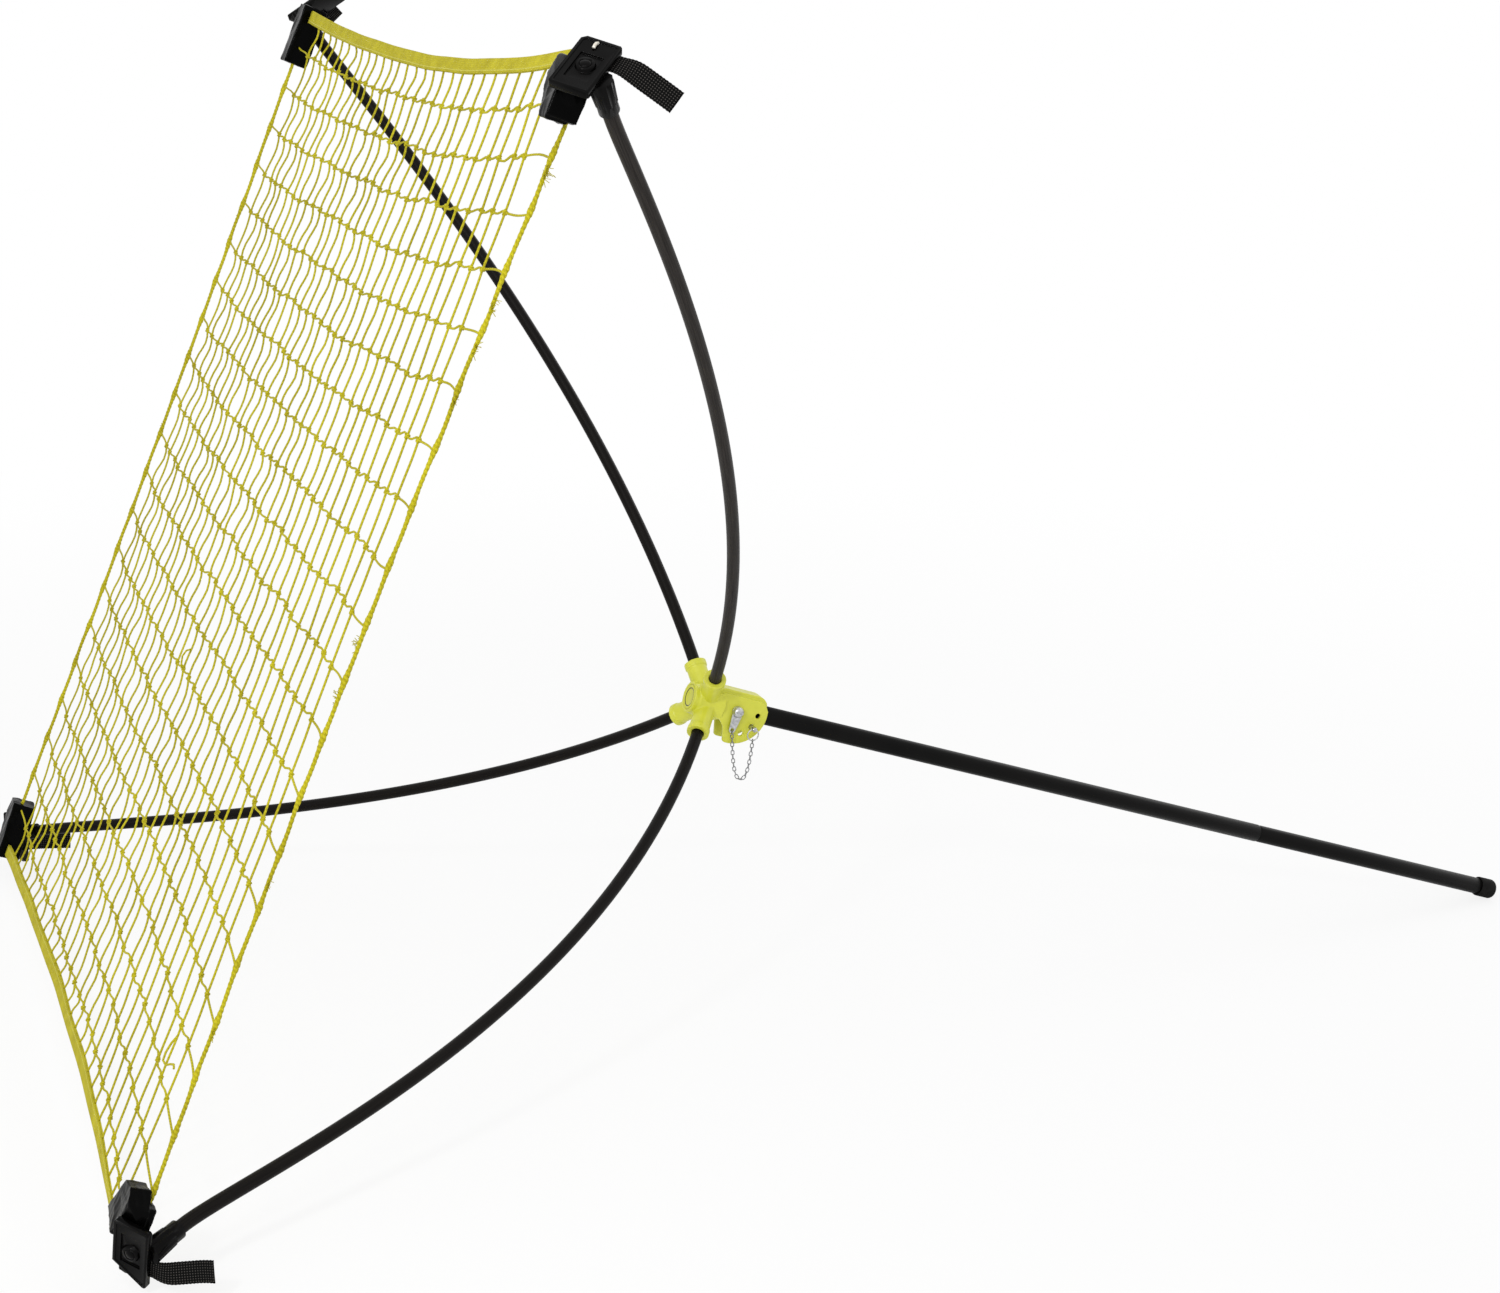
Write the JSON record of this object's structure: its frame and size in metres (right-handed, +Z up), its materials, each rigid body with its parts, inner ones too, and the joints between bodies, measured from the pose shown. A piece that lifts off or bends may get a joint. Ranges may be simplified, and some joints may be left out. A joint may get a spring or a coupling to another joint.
{
  "type": "portable rebound net",
  "caption": "Square knotted net stretched over bowed rods that plug into a central hub, standing on its lower corners and a folding rear leg.",
  "frame": {"origin": "centre of the bounding box, at the floor it stands on", "axes": "+Z up, +X from the net's front towards the foot of the rear leg, +Y across the net"},
  "size_m": [1.9592, 1.2891, 1.1473],
  "materials": {
    "lime_nylon": "moulded lime-yellow nylon, satin",
    "black_nylon": "moulded black nylon, slightly glossy",
    "fibreglass": "black pultruded fibreglass rod, satin",
    "painted_tube": "black gloss paint on steel tube",
    "woven_vinyl": "black woven vinyl with a wet-looking gloss",
    "black_webbing": "coarse woven black webbing, matt",
    "yellow_tape": "folded olive-yellow webbing tape",
    "yellow_rope": "olive-yellow twisted cord, whipped to the net",
    "yellow_twine": "olive-yellow knotted twine",
    "bright_steel": "zinc-plated bright steel",
    "black_rubber": "black rubber, matt"
  },
  "bodies": {
    "stand": {"hub_body": "lime_nylon", "hub_front_disc": "black_nylon", "top_tape": "yellow_tape", "bottom_tape": "yellow_tape", "side_rope_left": "yellow_rope", "side_rope_right": "yellow_rope", "net_mesh": "yellow_twine", "pivot_bolt": "bright_steel", "pivot_nut": "bright_steel", "pivot_washer_near": "bright_steel", "pivot_washer_far": "bright_steel", "lanyard_tab": "bright_steel", "pin_chain": "bright_steel", "rod_upper_left": "fibreglass", "rod_upper_right": "fibreglass", "rod_lower_left": "fibreglass", "rod_lower_right": "fibreglass", "corner_plate_upper_left": "black_nylon", "corner_plate_upper_right": "black_nylon", "corner_plate_lower_left": "black_nylon", "corner_plate_lower_right": "black_nylon", "corner_screw_upper_left": "black_nylon", "corner_screw_upper_right": "black_nylon", "corner_screw_lower_left": "black_nylon", "corner_screw_lower_right": "black_nylon", "ferrule_upper_left": "black_nylon", "ferrule_upper_right": "black_nylon", "ferrule_lower_left": "black_nylon", "ferrule_lower_right": "black_nylon", "corner_pocket_upper_left": "woven_vinyl", "corner_pocket_upper_right": "woven_vinyl", "corner_pocket_lower_left": "woven_vinyl", "corner_pocket_lower_right": "woven_vinyl", "pull_strap_upper_left": "black_webbing", "pull_strap_upper_right": "black_webbing", "pull_strap_lower_left": "black_webbing", "pull_strap_lower_right": "black_webbing"},
    "leg": {"leg_upper_tube": "painted_tube", "leg_bush": "bright_steel"},
    "leg_end": {"leg_lower_tube": "painted_tube", "foot_cap": "black_rubber"},
    "pin": {"locking_pin": "bright_steel", "split_ring": "bright_steel"}
  },
  "joints": [
    {"name": "leg_fold", "type": "hinge", "parent": "stand", "child": "leg", "pos_m": [-0.16541, 0, 0.34595], "axis": [0, 1, 0], "range_deg": [0, 90]},
    {"name": "leg_extension", "type": "slide", "parent": "leg", "child": "leg_end", "axis": [0.9598, 0, -0.2807], "range_m": [0, 0.06]},
    {"name": "pin_pull", "type": "slide", "parent": "stand", "child": "pin", "axis": [0, -1, 0], "range_m": [0, 0.025], "deforming": ["pin_chain"]}
  ]
}
